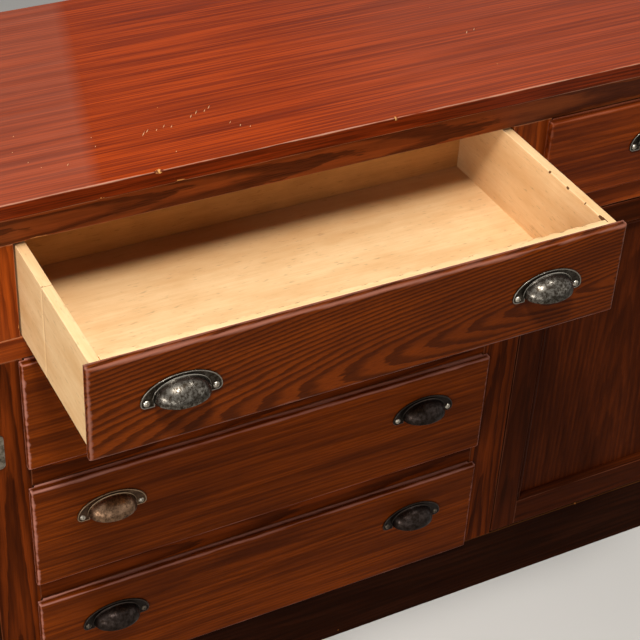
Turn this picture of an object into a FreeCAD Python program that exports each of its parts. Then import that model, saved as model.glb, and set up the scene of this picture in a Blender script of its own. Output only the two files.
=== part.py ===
import FreeCAD
import Part
import math
import os

from FreeCAD import Vector

# Base cabinet of a kitchen hutch: a worktop, a face frame on a boarded carcass, six lipped
# drawers with cup pulls and two inset panelled doors with turn latches.
# Millimetres. X runs to the right, Y into the cabinet, Z up.
# The origin is the middle of the face frame's front bottom edge, on the floor.

# Bays and stiles across the front
center_bay_width = 626.0
side_bay_width = 329.0
stile_width = 54.0
outer_stile_width = 54.0

# Rails and openings up the front
bottom_rail_height = 105.0
lower_drawer_count = 3
lower_drawer_opening = 162.0
drawer_rail_height = 30.0
mid_rail_height = 30.0
top_drawer_opening = 124.0
top_rail_height = 47.0
frame_thickness = 20.0
frame_edge_round = 0.8

# Worktop
worktop_thickness = 20.0
worktop_front_overhang = 25.0
worktop_end_overhang = 20.0
worktop_back_overhang = 5.0
worktop_edge_round = 4.0

# Carcass behind the frame
carcass_depth = 380.0
panel_thickness = 18.0
back_board_thickness = 12.0
back_board_count = 8
back_board_gap = 0.8
shelf_height = 372.0
shelf_setback = 40.0
cleat_height = 25.0
cleat_width = 20.0
door_stop_height = 60.0
door_stop_level = 250.0
door_stop_thickness = 12.0
door_stop_lap = 10.0
door_stop_gap = 0.3

# Drawer fronts
lip_thickness = 10.0
lip_overlap = 5.0
lip_round = 4.0
lip_seat_gap = 0.3
front_body_thickness = 8.0
front_top_gap = 2.0
front_bottom_gap = 3.0

# Drawer boxes and what they run on
drawer_length = 320.0
drawer_side_thickness = 12.0
drawer_side_clearance = 2.0
drawer_top_clearance = 3.5
drawer_back_thickness = 12.0
drawer_back_drop = 6.0
drawer_bottom_thickness = 6.0
drawer_bottom_rise = 13.0
groove_depth = 5.0
groove_clearance = 0.15
running_gap = 0.3
runner_lap = 2.0
guide_height = 18.0
kicker_height = 20.0
top_drawer_open_by = 216.0

# Cup pulls
pull_screw_spacing = 76.0
pull_plate_ear = 7.0
pull_plate_rise = 28.0
pull_plate_foot = 6.0
pull_plate_thickness = 2.0
pull_rim_width = 1.6
pull_rim_height = 0.7
cup_screw_gap = 7.0
cup_rise = 23.0
cup_projection = 24.0
cup_rim_height = 0.5
cup_wall = 1.8
pull_drop = 62.0
pull_offset = 219.0

# Doors
door_gap = 2.0
door_thickness = 20.0
door_stile_width = 39.0
door_top_rail_width = 35.0
door_bottom_rail_width = 45.0
moulding_width = 8.0
moulding_quirk = 1.2
panel_recess = 8.0
door_panel_thickness = 7.0
panel_groove_depth = 8.0
panel_groove_clearance = 0.2
panel_edge_gap = 0.6

# Butt hinges
hinge_height = 64.0
hinge_inset = 80.0
hinge_leaf_depth = 18.0
hinge_leaf_thickness = 1.8
hinge_leaf_gap = 0.4
hinge_screw_spacing = 21.0
hinge_end_screw_inset = 10.0
hinge_middle_screw_inset = 5.5
knuckle_count = 3
knuckle_radius = 3.5
knuckle_stand_off = 0.1
knuckle_end_gap = 0.4
knuckle_swing_gap = 0.3
pin_radius = 1.9
pin_running_gap = 0.05
pin_head_radius = 3.0
pin_head_height = 1.6

# Turn latches
latch_height = 525.0
latch_case_width = 35.0
latch_case_length = 56.0
latch_case_depth = 13.0
latch_case_wall = 2.0
latch_case_round = 5.0
case_foot = 3.0
case_well_gap = 0.4
latch_edge_setback = 0.5
bolt_length = 30.0
bolt_height = 10.0
bolt_thickness = 6.0
bolt_face_gap = 2.6
bolt_guide_gap = 0.3
bolt_tip_inset = 0.4
bolt_travel = 9.0
bolt_nose_round = 1.5
cam_pin_radius = 1.5
cam_slot_gap = 0.35
cam_slot_wall = 2.0
cam_disc_radius = 9.2
cam_disc_thickness = 1.6
cam_disc_gap = 0.3
cam_disc_room = 1.0
spindle_radius = 3.0
spindle_running_gap = 0.06
turn_length = 26.0
turn_width = 8.0
turn_thickness = 8.0
turn_neck = 3.0
turn_end_round = 3.6
turn_edge_round = 1.5
keeper_width = 23.0
keeper_length = 50.0
keeper_plate_thickness = 1.8
keeper_round = 6.0
keeper_edge_setback = 1.0
keeper_box_width = 13.0
keeper_box_wall = 2.0
keeper_box_round = 3.0
keeper_pocket_gap = 0.8

# Screws
pull_screw_radius = 1.9
pull_screw_head_radius = 3.9
pull_screw_head_height = 2.4
pull_screw_length = 13.0
screw_slot_width = 1.0
screw_slot_depth = 1.0
plate_screw_radius = 1.7
plate_screw_head_radius = 3.2
plate_screw_length = 13.0
plate_screw_inset = 5.5
pilot_gap = 0.1

# Places worked out from the sizes above
bay_edge = center_bay_width / 2
bay_inner = bay_edge + stile_width
bay_outer = bay_inner + side_bay_width
cabinet_half = bay_outer + outer_stile_width
partition_center = bay_edge + stile_width / 2
partition_inner = partition_center - panel_thickness / 2
partition_outer = partition_center + panel_thickness / 2
side_inner = cabinet_half - panel_thickness
back_front = carcass_depth - back_board_thickness
pull_plate_width = pull_screw_spacing + 2 * pull_plate_ear
cup_width = pull_screw_spacing - 2 * cup_screw_gap

lower_levels = []
for place in range(lower_drawer_count):
    low = bottom_rail_height + place * (lower_drawer_opening + drawer_rail_height)
    lower_levels.append((low, low + lower_drawer_opening))
door_low = bottom_rail_height
door_high = lower_levels[-1][1]
top_low = door_high + mid_rail_height
top_high = top_low + top_drawer_opening
frame_top = top_high + top_rail_height
cabinet_height = frame_top + worktop_thickness

# How far a cutter runs past the face it cuts, and how near two places count as one
past = 1.0
same_place = 1e-6

os.makedirs("parts", exist_ok=True)


# Helpers
def block(x_low, x_high, y_low, y_high, z_low, z_high):
    corner = Vector(x_low, y_low, z_low)
    return Part.makeBox(x_high - x_low, y_high - y_low, z_high - z_low, corner)


def mirrored(shape):
    return shape.mirror(Vector(0, 0, 0), Vector(1, 0, 0))


def pair(shape):
    return [shape, mirrored(shape)]


def moved(shape, x, y, z):
    copy = shape.copy()
    copy.translate(Vector(x, y, z))
    return copy


def rod(radius, start, direction, length):
    return Part.makeCylinder(radius, length, start, direction)


def eased(solid, radius, chosen):
    edges = [edge for edge in solid.Edges if chosen(edge)]
    return solid.makeFillet(radius, edges)


def lies_at_y(edge, y):
    return all(abs(vertex.Y - y) < same_place for vertex in edge.Vertexes)


def lies_at_x(edge, x):
    return all(abs(vertex.X - x) < same_place for vertex in edge.Vertexes)


def is_level(edge):
    return abs(edge.Vertexes[0].Z - edge.Vertexes[-1].Z) < same_place


def runs_along_y(edge):
    ends = [vertex.Point for vertex in edge.Vertexes]
    return abs(ends[0].x - ends[-1].x) < same_place and abs(ends[0].z - ends[-1].z) < same_place


def flat_outline(points, y):
    corners = [Vector(x, y, z) for x, z in points]
    return Part.makePolygon(corners + corners[:1])


def prism(points, y_low, y_high):
    face = Part.Face(flat_outline(points, y_low))
    return face.extrude(Vector(0, y_high - y_low, 0))


def rectangle(x_low, x_high, z_low, z_high):
    return [(x_low, z_low), (x_high, z_low), (x_high, z_high), (x_low, z_high)]


def save(node, solids):
    Part.makeCompound(solids).exportStep("parts/" + node + ".step")


# Screws
def slot_cutter(head_top, radius):
    half = screw_slot_width / 2
    return block(-half, half, head_top - past, head_top + screw_slot_depth, -radius, radius)


def pull_screw(x, y, z):
    # dome head on the face at y, shank running into the wood along +Y
    r = pull_screw_head_radius
    h = pull_screw_head_height
    ball_radius = (r * r + h * h) / (2 * h)
    ball = Part.makeSphere(ball_radius, Vector(0, ball_radius - h, 0))
    head = ball.common(block(-r, r, -h, 0, -r, r))
    head = head.cut(slot_cutter(-h, r))
    shank = rod(pull_screw_radius, Vector(0, 0, 0), Vector(0, 1, 0), pull_screw_length)
    return moved(head.fuse(shank).removeSplitter(), x, y, z)


def plate_screw(point, direction):
    # countersunk head flush with the plate, shank along the direction
    depth = plate_screw_head_radius - plate_screw_radius
    head = Part.makeCone(plate_screw_head_radius, plate_screw_radius, depth, point, direction)
    shank = rod(plate_screw_radius, point, direction, plate_screw_length)
    return head.fuse(shank).removeSplitter()


def plate_screw_hole(point, direction):
    depth = plate_screw_head_radius - plate_screw_radius
    wide = plate_screw_head_radius + pilot_gap
    narrow = plate_screw_radius + pilot_gap
    start = point - direction * past
    mouth = rod(wide, start, direction, past)
    cone = Part.makeCone(wide, narrow, depth, point, direction)
    bore = rod(narrow, start, direction, past + plate_screw_length + pilot_gap)
    return mouth.fuse([cone, bore])


# Face frame
def frame_member(x_low, x_high, z_low, z_high):
    member = block(x_low, x_high, 0, frame_thickness, z_low, z_high)
    return eased(member, frame_edge_round, lambda edge: lies_at_y(edge, 0))


# Hinges, drawn for the right hand door and mirrored for the left
hinge_x = bay_outer - door_gap / 2
hinge_y = -(knuckle_radius + knuckle_stand_off)
hinge_levels = [door_low + door_gap + hinge_inset, door_high - door_gap - hinge_inset]
knuckle_length = (hinge_height - (knuckle_count - 1) * knuckle_end_gap) / knuckle_count
leaf_half_gap = hinge_leaf_gap / 2
hinge_screw_spots = [-hinge_screw_spacing, 0.0, hinge_screw_spacing]


def knuckle_spans(level):
    low = level - hinge_height / 2
    step = knuckle_length + knuckle_end_gap
    return [(low + n * step, low + n * step + knuckle_length) for n in range(knuckle_count)]


def leaf_screw_point(level, spot, side):
    x = hinge_x + side * leaf_half_gap
    y = hinge_leaf_depth - (hinge_end_screw_inset if spot else hinge_middle_screw_inset)
    return Vector(x, y, level + spot)


def hinge_leaf(level, side, own_spans, other_spans):
    # side is +1 for the leaf on the frame's stile and -1 for the leaf on the door
    near = hinge_x + side * leaf_half_gap
    far = near + side * hinge_leaf_thickness
    leaf = block(min(near, far), max(near, far), hinge_y, hinge_leaf_depth,
                 level - hinge_height / 2, level + hinge_height / 2)
    for low, high in other_spans:
        swing = rod(knuckle_radius + knuckle_swing_gap, Vector(hinge_x, hinge_y, low - knuckle_end_gap),
                    Vector(0, 0, 1), high - low + 2 * knuckle_end_gap)
        leaf = leaf.cut(swing)
    for low, high in own_spans:
        start = Vector(hinge_x, hinge_y, low)
        leaf = leaf.fuse(rod(knuckle_radius, start, Vector(0, 0, 1), high - low))
    bore = pin_radius if side > 0 else pin_radius + pin_running_gap
    start = Vector(hinge_x, hinge_y, level - hinge_height / 2 - past)
    leaf = leaf.cut(rod(bore, start, Vector(0, 0, 1), hinge_height + 2 * past))
    for spot in hinge_screw_spots:
        leaf = leaf.cut(plate_screw_hole(leaf_screw_point(level, spot, side), Vector(side, 0, 0)))
    return leaf.removeSplitter()


def hinge_mortise(level, side):
    near = hinge_x + side * leaf_half_gap
    far = near + side * hinge_leaf_thickness
    return block(min(near, far), max(near, far), -past, hinge_leaf_depth,
                 level - hinge_height / 2, level + hinge_height / 2)


def hinge_pin(level):
    low = level - hinge_height / 2
    pin = rod(pin_radius, Vector(hinge_x, hinge_y, low), Vector(0, 0, 1), hinge_height)
    head = rod(pin_head_radius, Vector(hinge_x, hinge_y, low + hinge_height), Vector(0, 0, 1),
               pin_head_height)
    return pin.fuse(head).removeSplitter()


frame_leaves = []
door_leaves = []
hinge_pins = []
frame_hinge_screws = []
door_hinge_screws = []
for level in hinge_levels:
    spans = knuckle_spans(level)
    frame_leaves.append(hinge_leaf(level, 1, spans[0::2], spans[1::2]))
    door_leaves.append(hinge_leaf(level, -1, spans[1::2], spans[0::2]))
    hinge_pins.append(hinge_pin(level))
    for spot in hinge_screw_spots:
        frame_hinge_screws.append(plate_screw(leaf_screw_point(level, spot, 1), Vector(1, 0, 0)))
        door_hinge_screws.append(plate_screw(leaf_screw_point(level, spot, -1), Vector(-1, 0, 0)))


# Latch, drawn for the right hand door: the case on the door's inner stile, the keeper beside it
door_edge = bay_inner + door_gap
case_low = door_edge + latch_edge_setback
case_high = case_low + latch_case_width
spindle_x = (case_low + case_high) / 2
bolt_back = -bolt_face_gap
bolt_front = bolt_back - bolt_thickness
bolt_tip = case_low + bolt_tip_inset
cam_throw = bolt_travel / math.sqrt(2)
cam_x = spindle_x + bolt_travel / 2
cam_rise = bolt_travel / 2
keeper_high = bay_inner - keeper_edge_setback
keeper_low = keeper_high - keeper_width
case_screw_rise = latch_case_length / 2 - plate_screw_inset
keeper_screw_rise = keeper_length / 2 - plate_screw_inset


def latch_case():
    z_low = latch_height - latch_case_length / 2
    z_high = latch_height + latch_case_length / 2
    shell = block(case_low, case_high, -latch_case_depth, 0, z_low, z_high)
    shell = eased(shell, latch_case_round, runs_along_y)
    wall = latch_case_wall
    room_half = cam_disc_radius + cam_disc_room
    room = block(case_low + wall, case_high - wall, -latch_case_depth + wall, past,
                 latch_height - room_half, latch_height + room_half)
    shell = shell.cut(room)
    half = bolt_height / 2 + bolt_guide_gap
    way_out = block(case_low - past, case_low + wall + past, bolt_front - bolt_guide_gap, past,
                    latch_height - half, latch_height + half)
    shell = shell.cut(way_out)
    spindle_hole = rod(spindle_radius + spindle_running_gap,
                       Vector(spindle_x, -latch_case_depth - past, latch_height), Vector(0, 1, 0),
                       latch_case_wall + 2 * past)
    shell = shell.cut(spindle_hole)
    for point in case_screw_points():
        well = rod(plate_screw_head_radius + case_well_gap, point, Vector(0, -1, 0), latch_case_depth)
        shell = shell.cut([well, plate_screw_hole(point, Vector(0, 1, 0))])
    return shell


def latch_bolt():
    tail = bolt_tip + bolt_length
    half = bolt_height / 2
    bolt = block(bolt_tip, tail, bolt_front, bolt_back, latch_height - half, latch_height + half)
    bolt = eased(bolt, bolt_nose_round, lambda edge: lies_at_x(edge, bolt_tip) and not is_level(edge))
    reach = cam_pin_radius + cam_slot_gap
    top = latch_height + cam_throw + reach
    yoke = block(cam_x - reach - cam_slot_wall, cam_x + reach + cam_slot_wall,
                 bolt_front, bolt_back, latch_height, top)
    slot = block(cam_x - reach, cam_x + reach, bolt_front - past, bolt_back + past,
                 latch_height + cam_rise - reach, top + past)
    return bolt.fuse(yoke).cut(slot).removeSplitter()


def latch_turn():
    disc_front = bolt_front - cam_disc_gap - cam_disc_thickness
    along_y = Vector(0, 1, 0)
    center = Vector(spindle_x, 0, latch_height)
    front = -latch_case_depth - turn_neck
    spindle = rod(spindle_radius, center + Vector(0, front, 0), along_y, disc_front - front)
    disc = rod(cam_disc_radius, center + Vector(0, disc_front, 0), along_y, cam_disc_thickness)
    pin_start = Vector(cam_x, disc_front, latch_height + cam_rise)
    pin = rod(cam_pin_radius, pin_start, along_y, cam_disc_thickness + cam_disc_gap + bolt_thickness)
    grip = block(spindle_x - turn_width / 2, spindle_x + turn_width / 2, front - turn_thickness, front,
                 latch_height - turn_length / 2, latch_height + turn_length / 2)
    grip = eased(grip, turn_end_round, runs_along_y)
    grip = eased(grip, turn_edge_round, lambda edge: lies_at_y(edge, front - turn_thickness))
    return spindle.fuse([disc, pin, grip]).removeSplitter()


def latch_keeper():
    z_low = latch_height - keeper_length / 2
    z_high = latch_height + keeper_length / 2
    plate = block(keeper_low, keeper_high, -keeper_plate_thickness, 0, z_low, z_high)
    plate = eased(plate, keeper_round, lambda edge: runs_along_y(edge) and lies_at_x(edge, keeper_low))
    pocket_half = bolt_height / 2 + keeper_pocket_gap
    box_half = pocket_half + keeper_box_wall
    pocket_front = bolt_front - keeper_pocket_gap
    box_front = pocket_front - keeper_box_wall
    box_low = keeper_high - keeper_box_width
    box = block(box_low, keeper_high, box_front, 0, latch_height - box_half, latch_height + box_half)
    box = eased(box, keeper_box_round, lambda edge: runs_along_y(edge) and lies_at_x(edge, box_low))
    pocket = block(box_low + keeper_box_wall, keeper_high + past, pocket_front, -keeper_plate_thickness,
                   latch_height - pocket_half, latch_height + pocket_half)
    keeper = plate.fuse(box).cut(pocket)
    for point in keeper_screw_points():
        keeper = keeper.cut(plate_screw_hole(point, Vector(0, 1, 0)))
    return keeper.removeSplitter()


def keeper_screw_points():
    x = (keeper_low + keeper_high) / 2
    return [Vector(x, -keeper_plate_thickness, latch_height + side * keeper_screw_rise)
            for side in (-1, 1)]


def case_screw_points():
    return [Vector(spindle_x, -case_foot, latch_height + side * case_screw_rise) for side in (-1, 1)]


keeper_screws = [plate_screw(point, Vector(0, 1, 0)) for point in keeper_screw_points()]
case_screws = [plate_screw(point, Vector(0, 1, 0)) for point in case_screw_points()]


# Frame pieces, with the hinge and keeper recesses cut in them
def outer_stile():
    stile = frame_member(bay_outer, cabinet_half, 0, frame_top)
    for level in hinge_levels:
        stile = stile.cut(hinge_mortise(level, 1))
        for spot in hinge_screw_spots:
            stile = stile.cut(plate_screw_hole(leaf_screw_point(level, spot, 1), Vector(1, 0, 0)))
    return stile


def long_stile():
    stile = frame_member(bay_edge, bay_inner, door_low, door_high)
    for point in keeper_screw_points():
        stile = stile.cut(plate_screw_hole(point, Vector(0, 1, 0)))
    return stile


save("outer_stiles", pair(outer_stile()))
save("long_stiles", pair(long_stile()))
save("short_stiles", pair(frame_member(bay_edge, bay_inner, top_low, top_high)))
save("bottom_rail", [frame_member(-bay_outer, bay_outer, 0, bottom_rail_height)])
save("mid_rail", [frame_member(-bay_outer, bay_outer, door_high, top_low)])
save("top_rail", [frame_member(-bay_outer, bay_outer, top_high, frame_top)])
save("drawer_rails", [frame_member(-bay_edge, bay_edge, below[1], above[0])
                      for below, above in zip(lower_levels, lower_levels[1:])])


# Worktop
def worktop():
    half = cabinet_half + worktop_end_overhang
    top = block(-half, half, -worktop_front_overhang, carcass_depth + worktop_back_overhang,
                frame_top, cabinet_height)
    back = carcass_depth + worktop_back_overhang
    return eased(top, worktop_edge_round, lambda edge: not lies_at_y(edge, back) and
                 (is_level(edge) or lies_at_y(edge, -worktop_front_overhang)))


save("worktop", [worktop()])

# Carcass boards
side = block(side_inner, cabinet_half, frame_thickness, carcass_depth, 0, frame_top)
save("side_panels", pair(side))
partition = block(partition_inner, partition_outer, frame_thickness, back_front, 0, frame_top)
save("partitions", pair(partition))
floor_low = bottom_rail_height - panel_thickness
side_floor = block(partition_outer, side_inner, frame_thickness, back_front, floor_low, door_low)
center_floor = block(-partition_inner, partition_inner, frame_thickness, back_front, floor_low, door_low)
save("bottom_boards", pair(side_floor) + [center_floor])
shelf = block(partition_outer, side_inner, frame_thickness + shelf_setback, back_front,
              shelf_height, shelf_height + panel_thickness)
save("shelves", pair(shelf))

board_width = (2 * side_inner - (back_board_count - 1) * back_board_gap) / back_board_count
back_boards = []
for place in range(back_board_count):
    start = -side_inner + place * (board_width + back_board_gap)
    back_boards.append(block(start, start + board_width, back_front, carcass_depth, 0, frame_top))
save("back_boards", back_boards)

# Cleats under the shelves and behind the worktop
cleats = []
for x_low, x_high in ((partition_outer, partition_outer + cleat_width),
                      (side_inner - cleat_width, side_inner)):
    cleats += pair(block(x_low, x_high, frame_thickness + shelf_setback, back_front,
                         shelf_height - cleat_height, shelf_height))
cleats += pair(block(partition_outer, side_inner, back_front - cleat_width, back_front,
                     frame_top - cleat_height, frame_top))
cleats.append(block(-partition_inner, partition_inner, back_front - cleat_width, back_front,
                    frame_top - cleat_height, frame_top))
save("cleats", cleats)

# A block beside each partition that the closing door comes to rest on
stop_front = door_thickness + door_stop_gap
door_stop = block(partition_outer, bay_inner + door_gap + door_stop_lap,
                  stop_front, stop_front + door_stop_thickness,
                  door_stop_level, door_stop_level + door_stop_height)
save("door_stops", pair(door_stop))

# Runners under the drawer sides, guides beside them and kickers over the top row
runner_reach = drawer_side_clearance + drawer_side_thickness + runner_lap
center_runner = (bay_edge - runner_reach, partition_inner)
inner_runner = (partition_outer, bay_inner + runner_reach)
outer_runner = (bay_outer - runner_reach, side_inner)

runners = []
for below, above in zip(lower_levels, lower_levels[1:]):
    runners += pair(block(*center_runner, frame_thickness, back_front, below[1], above[0]))
for span in (center_runner, inner_runner, outer_runner):
    runners += pair(block(*span, frame_thickness, back_front, door_high, top_low))
save("drawer_runners", runners)

guides = []
for low, high in lower_levels:
    guides += pair(block(bay_edge, partition_inner, frame_thickness, back_front,
                         low, low + guide_height))
for span in ((bay_edge, partition_inner), (partition_outer, bay_inner), (bay_outer, side_inner)):
    guides += pair(block(*span, frame_thickness, back_front, top_low, top_low + guide_height))
for span in (center_runner, inner_runner, outer_runner):
    guides += pair(block(*span, frame_thickness, back_front, top_high, top_high + kicker_height))
save("drawer_guides", guides)


# Drawers
lip_back = -lip_seat_gap
lip_front = lip_back - lip_thickness
pull_screw_seat = lip_front - pull_plate_thickness + pull_rim_height


def drawer_places(opening):
    x_low, x_high, z_low, z_high = opening
    side_low = x_low + drawer_side_clearance
    side_high = x_high - drawer_side_clearance
    return {
        "side_low": side_low,
        "side_high": side_high,
        "room_low": side_low + drawer_side_thickness,
        "room_high": side_high - drawer_side_thickness,
        "foot": z_low + running_gap,
        "rim": z_high - drawer_top_clearance,
        "front_low": z_low + front_bottom_gap,
        "front_high": z_high - front_top_gap,
        "end": lip_back + drawer_length,
    }


def drawer_front(opening, at, pull_centers):
    x_low, x_high, z_low, z_high = opening
    lip = block(x_low - lip_overlap, x_high + lip_overlap, lip_front, lip_back,
                at["front_low"], at["front_high"])
    lip = eased(lip, lip_round, lambda edge: lies_at_y(edge, lip_front))
    body = block(at["room_low"], at["room_high"], lip_back, lip_back + front_body_thickness,
                 at["front_low"], at["front_high"])
    front = lip.fuse(body).removeSplitter()
    front = front.cut(groove_room(at))
    for x in pull_centers:
        for side in (-1, 1):
            start = Vector(x + side * pull_screw_spacing / 2, pull_screw_seat, pull_level(at))
            front = front.cut(rod(pull_screw_radius + pilot_gap, start, Vector(0, 1, 0),
                                  pull_screw_length + pilot_gap))
    return front


def groove_room(at):
    low = at["foot"] + drawer_bottom_rise - groove_clearance
    return block(at["room_low"] - groove_depth, at["room_high"] + groove_depth,
                 lip_back + front_body_thickness - groove_depth, at["end"] + past,
                 low, low + drawer_bottom_thickness + 2 * groove_clearance)


def drawer_sides(at):
    left = block(at["side_low"], at["room_low"], lip_back, at["end"], at["foot"], at["rim"])
    right = block(at["room_high"], at["side_high"], lip_back, at["end"], at["foot"], at["rim"])
    return [left.cut(groove_room(at)), right.cut(groove_room(at))]


def drawer_bottom(at):
    low = at["foot"] + drawer_bottom_rise
    reach = groove_depth - groove_clearance
    return block(at["room_low"] - reach, at["room_high"] + reach,
                 lip_back + front_body_thickness - reach, at["end"],
                 low, low + drawer_bottom_thickness)


def drawer_back(at):
    low = at["foot"] + drawer_bottom_rise + drawer_bottom_thickness + groove_clearance
    return block(at["room_low"], at["room_high"], at["end"] - drawer_back_thickness, at["end"],
                 low, at["rim"] - drawer_back_drop)


def pull_level(at):
    return at["front_high"] - pull_drop


# Cup pull about the middle of its screw line, on the plane Y = 0, standing out along -Y
def arch_plate(inset, y_low, y_high):
    half = pull_plate_width / 2 - inset
    rise = pull_plate_rise - inset
    foot = -pull_plate_foot + inset
    corner = pull_plate_foot - inset
    crown = Part.Ellipse(Vector(0, y_low, 0), half, rise)
    crown.Axis = Vector(0, -1, 0)
    crown.XAxis = Vector(1, 0, 0)
    crown_edge = crown.toShape(0, math.pi)
    left, right = Vector(-half, y_low, 0), Vector(half, y_low, 0)
    turn = corner * (1 - math.cos(math.pi / 4))
    left_arc = Part.Arc(left, Vector(-half + turn, y_low, -corner + turn),
                        Vector(-half + corner, y_low, foot)).toShape()
    right_arc = Part.Arc(Vector(half - corner, y_low, foot), Vector(half - turn, y_low, -corner + turn),
                         right).toShape()
    base = Part.makeLine(Vector(-half + corner, y_low, foot), Vector(half - corner, y_low, foot))
    outline = Part.Wire(Part.__sortEdges__([crown_edge, left_arc, base, right_arc]))
    return Part.Face(outline).extrude(Vector(0, y_high - y_low, 0))


def half_dome(inset):
    ball = Part.makeSphere(1)
    shape = FreeCAD.Matrix()
    shape.scale(cup_width / 2 - inset, cup_projection - inset, cup_rise - cup_rim_height - inset)
    return ball.transformGeometry(shape)


def cup_pull():
    reach = cup_width / 2 + past
    plate = arch_plate(0, -pull_plate_thickness, 0)
    plate = plate.cut(arch_plate(pull_rim_width, -pull_plate_thickness - past,
                                 -pull_plate_thickness + pull_rim_height))
    quarter = block(-reach, reach, -cup_projection - past, 0, 0, cup_rise + past)
    cup = moved(half_dome(0).common(quarter), 0, 0, cup_rim_height)
    hollow = moved(half_dome(cup_wall), 0, 0, cup_rim_height)
    open_half = cup_width / 2 - cup_wall
    below = block(-open_half, open_half, -cup_projection - past, past,
                  -pull_plate_foot - past, cup_rim_height)
    pull = plate.fuse(cup).cut(hollow).cut(below)
    for side in (-1, 1):
        start = Vector(side * pull_screw_spacing / 2, -pull_plate_thickness - past, 0)
        pull = pull.cut(rod(pull_screw_radius + pilot_gap, start, Vector(0, 1, 0),
                            pull_plate_thickness + 2 * past))
    return pull


one_pull = cup_pull()


def drawer_pulls(at, pull_centers):
    return [moved(one_pull, x, lip_front, pull_level(at)) for x in pull_centers]


def drawer_pull_screws(at, pull_centers):
    return [pull_screw(x + side * pull_screw_spacing / 2, pull_screw_seat, pull_level(at))
            for x in pull_centers for side in (-1, 1)]


def opened(solids, distance):
    return [moved(solid, 0, -distance, 0) for solid in solids]


def make_drawer(name, opening, pull_centers, open_by, whole_box):
    at = drawer_places(opening)
    box = {
        "sides": drawer_sides(at),
        "back": [drawer_back(at)],
        "bottom": [drawer_bottom(at)],
    }
    if whole_box:
        box = {"box": box["sides"] + box["back"] + box["bottom"]}
    pieces = {
        "front": [drawer_front(opening, at, pull_centers)],
        **box,
        "pulls": drawer_pulls(at, pull_centers),
        "pull_screws": drawer_pull_screws(at, pull_centers),
    }
    for piece, solids in pieces.items():
        save(name + "_" + piece, opened(solids, open_by))


center_pulls = [-pull_offset, pull_offset]
side_pull = (bay_inner + bay_outer) / 2
make_drawer("top_drawer", (-bay_edge, bay_edge, top_low, top_high), center_pulls,
            top_drawer_open_by, False)
make_drawer("left_drawer", (-bay_outer, -bay_inner, top_low, top_high), [-side_pull], 0, True)
make_drawer("right_drawer", (bay_inner, bay_outer, top_low, top_high), [side_pull], 0, True)
lower_names = ["bottom_drawer", "third_drawer", "second_drawer"]
for name, (low, high) in zip(lower_names, lower_levels):
    make_drawer(name, (-bay_edge, bay_edge, low, high), center_pulls, 0, True)


# Doors, drawn for the right hand side
door_left = door_edge
door_right = bay_outer - door_gap
door_foot = door_low + door_gap
door_head = door_high - door_gap
sight_left = door_left + door_stile_width
sight_right = door_right - door_stile_width
sight_low = door_foot + door_bottom_rail_width
sight_high = door_head - door_top_rail_width


def sight_outline(inset):
    return rectangle(sight_left + inset, sight_right - inset, sight_low + inset, sight_high - inset)


def moulding_cutter():
    quirk = prism(sight_outline(0), -past, moulding_quirk)
    front = flat_outline(sight_outline(moulding_quirk), moulding_quirk)
    back = flat_outline(sight_outline(moulding_width), panel_recess)
    return quirk.fuse(Part.makeLoft([front, back], True, True))


def panel_slot():
    reach = panel_groove_depth - moulding_width
    return block(sight_left - reach, sight_right + reach,
                 panel_recess - panel_groove_clearance,
                 panel_recess + door_panel_thickness + panel_groove_clearance,
                 sight_low - reach, sight_high + reach)


def door_stiles():
    m = moulding_width
    left = [(door_left, door_foot), (sight_left, door_foot), (sight_left, sight_low),
            (sight_left + m, sight_low + m), (sight_left + m, sight_high - m),
            (sight_left, sight_high), (sight_left, door_head), (door_left, door_head)]
    shift = door_left + door_right
    right = [(shift - x, z) for x, z in left]
    stiles = [prism(left, 0, door_thickness), prism(right, 0, door_thickness)]
    return [door_member(stile) for stile in stiles]


def door_rails():
    m = moulding_width
    lower = [(sight_left, door_foot), (sight_right, door_foot), (sight_right, sight_low),
             (sight_right - m, sight_low + m), (sight_left + m, sight_low + m), (sight_left, sight_low)]
    upper = [(sight_left, door_head), (sight_right, door_head), (sight_right, sight_high),
             (sight_right - m, sight_high - m), (sight_left + m, sight_high - m),
             (sight_left, sight_high)]
    return [door_member(prism(outline, 0, door_thickness)) for outline in (lower, upper)]


def door_member(blank):
    member = blank.cut(moulding_cutter()).cut(panel_slot())
    for level in hinge_levels:
        member = member.cut(hinge_mortise(level, -1))
        for spot in hinge_screw_spots:
            member = member.cut(plate_screw_hole(leaf_screw_point(level, spot, -1), Vector(-1, 0, 0)))
    for point in case_screw_points():
        member = member.cut(plate_screw_hole(point, Vector(0, 1, 0)))
    return member


def door_panel():
    reach = panel_groove_depth - moulding_width - panel_edge_gap
    return block(sight_left - reach, sight_right + reach, panel_recess,
                 panel_recess + door_panel_thickness, sight_low - reach, sight_high + reach)


right_hand = {
    "door_{}_frame": door_stiles() + door_rails(),
    "door_{}_panel": [door_panel()],
    "door_{}_hinge_leaves": door_leaves,
    "door_{}_screws": door_hinge_screws + case_screws,
    "latch_{}_case": [latch_case()],
    "latch_{}_bolt": [latch_bolt()],
    "latch_{}_turn": [latch_turn()],
}
for pattern, solids in right_hand.items():
    save(pattern.format("right"), solids)
    save(pattern.format("left"), [mirrored(solid) for solid in solids])

# Hardware on the frame
save("hinge_frame_leaves", [shape for leaf in frame_leaves + hinge_pins for shape in pair(leaf)])
save("latch_keepers", pair(latch_keeper()))
save("frame_screws", [shape for screw in frame_hinge_screws + keeper_screws for shape in pair(screw)])
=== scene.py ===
import bmesh
import bpy
import math
from mathutils import Matrix, Vector, noise


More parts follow.
